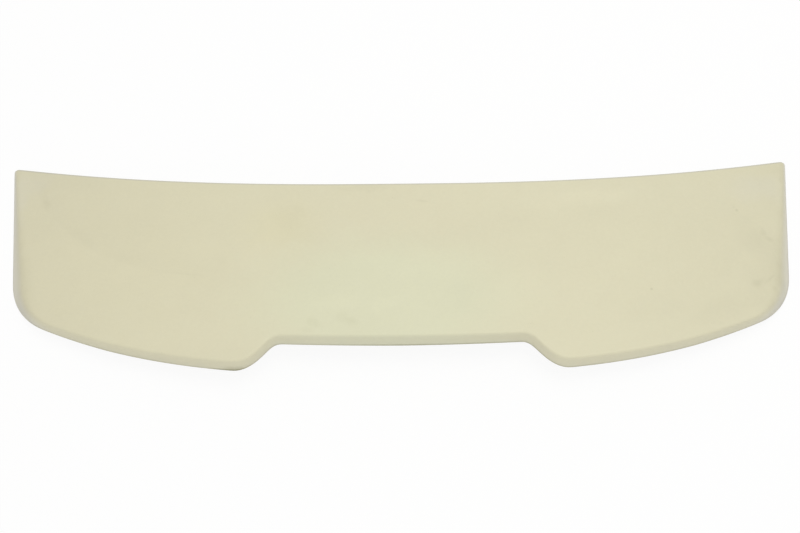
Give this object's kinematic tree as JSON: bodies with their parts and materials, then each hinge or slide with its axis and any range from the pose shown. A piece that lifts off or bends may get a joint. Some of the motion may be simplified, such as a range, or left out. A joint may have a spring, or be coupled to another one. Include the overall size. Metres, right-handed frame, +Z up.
{
  "type": "roof spoiler",
  "caption": "Wide one-piece moulded roof spoiler: crowned top, thin bowed front edge, drafted rear lip with a lamp notch between two lobes, hollow ribbed underside.",
  "frame": {"origin": "under the middle of the part's overall box, on the plane that the two flank lands rest on", "axes": "+X across the car along the spoiler's length, +Y towards the front of the car, +Z up"},
  "size_m": [1.1974, 0.3616, 0.0578],
  "materials": {
    "raw_polyurethane": "unpainted cream polyurethane straight from the mould, satin, faintly mottled, with light smudges and fine marks"
  },
  "bodies": {
    "root": {"spoiler_shell": "raw_polyurethane"}
  },
  "joints": []
}
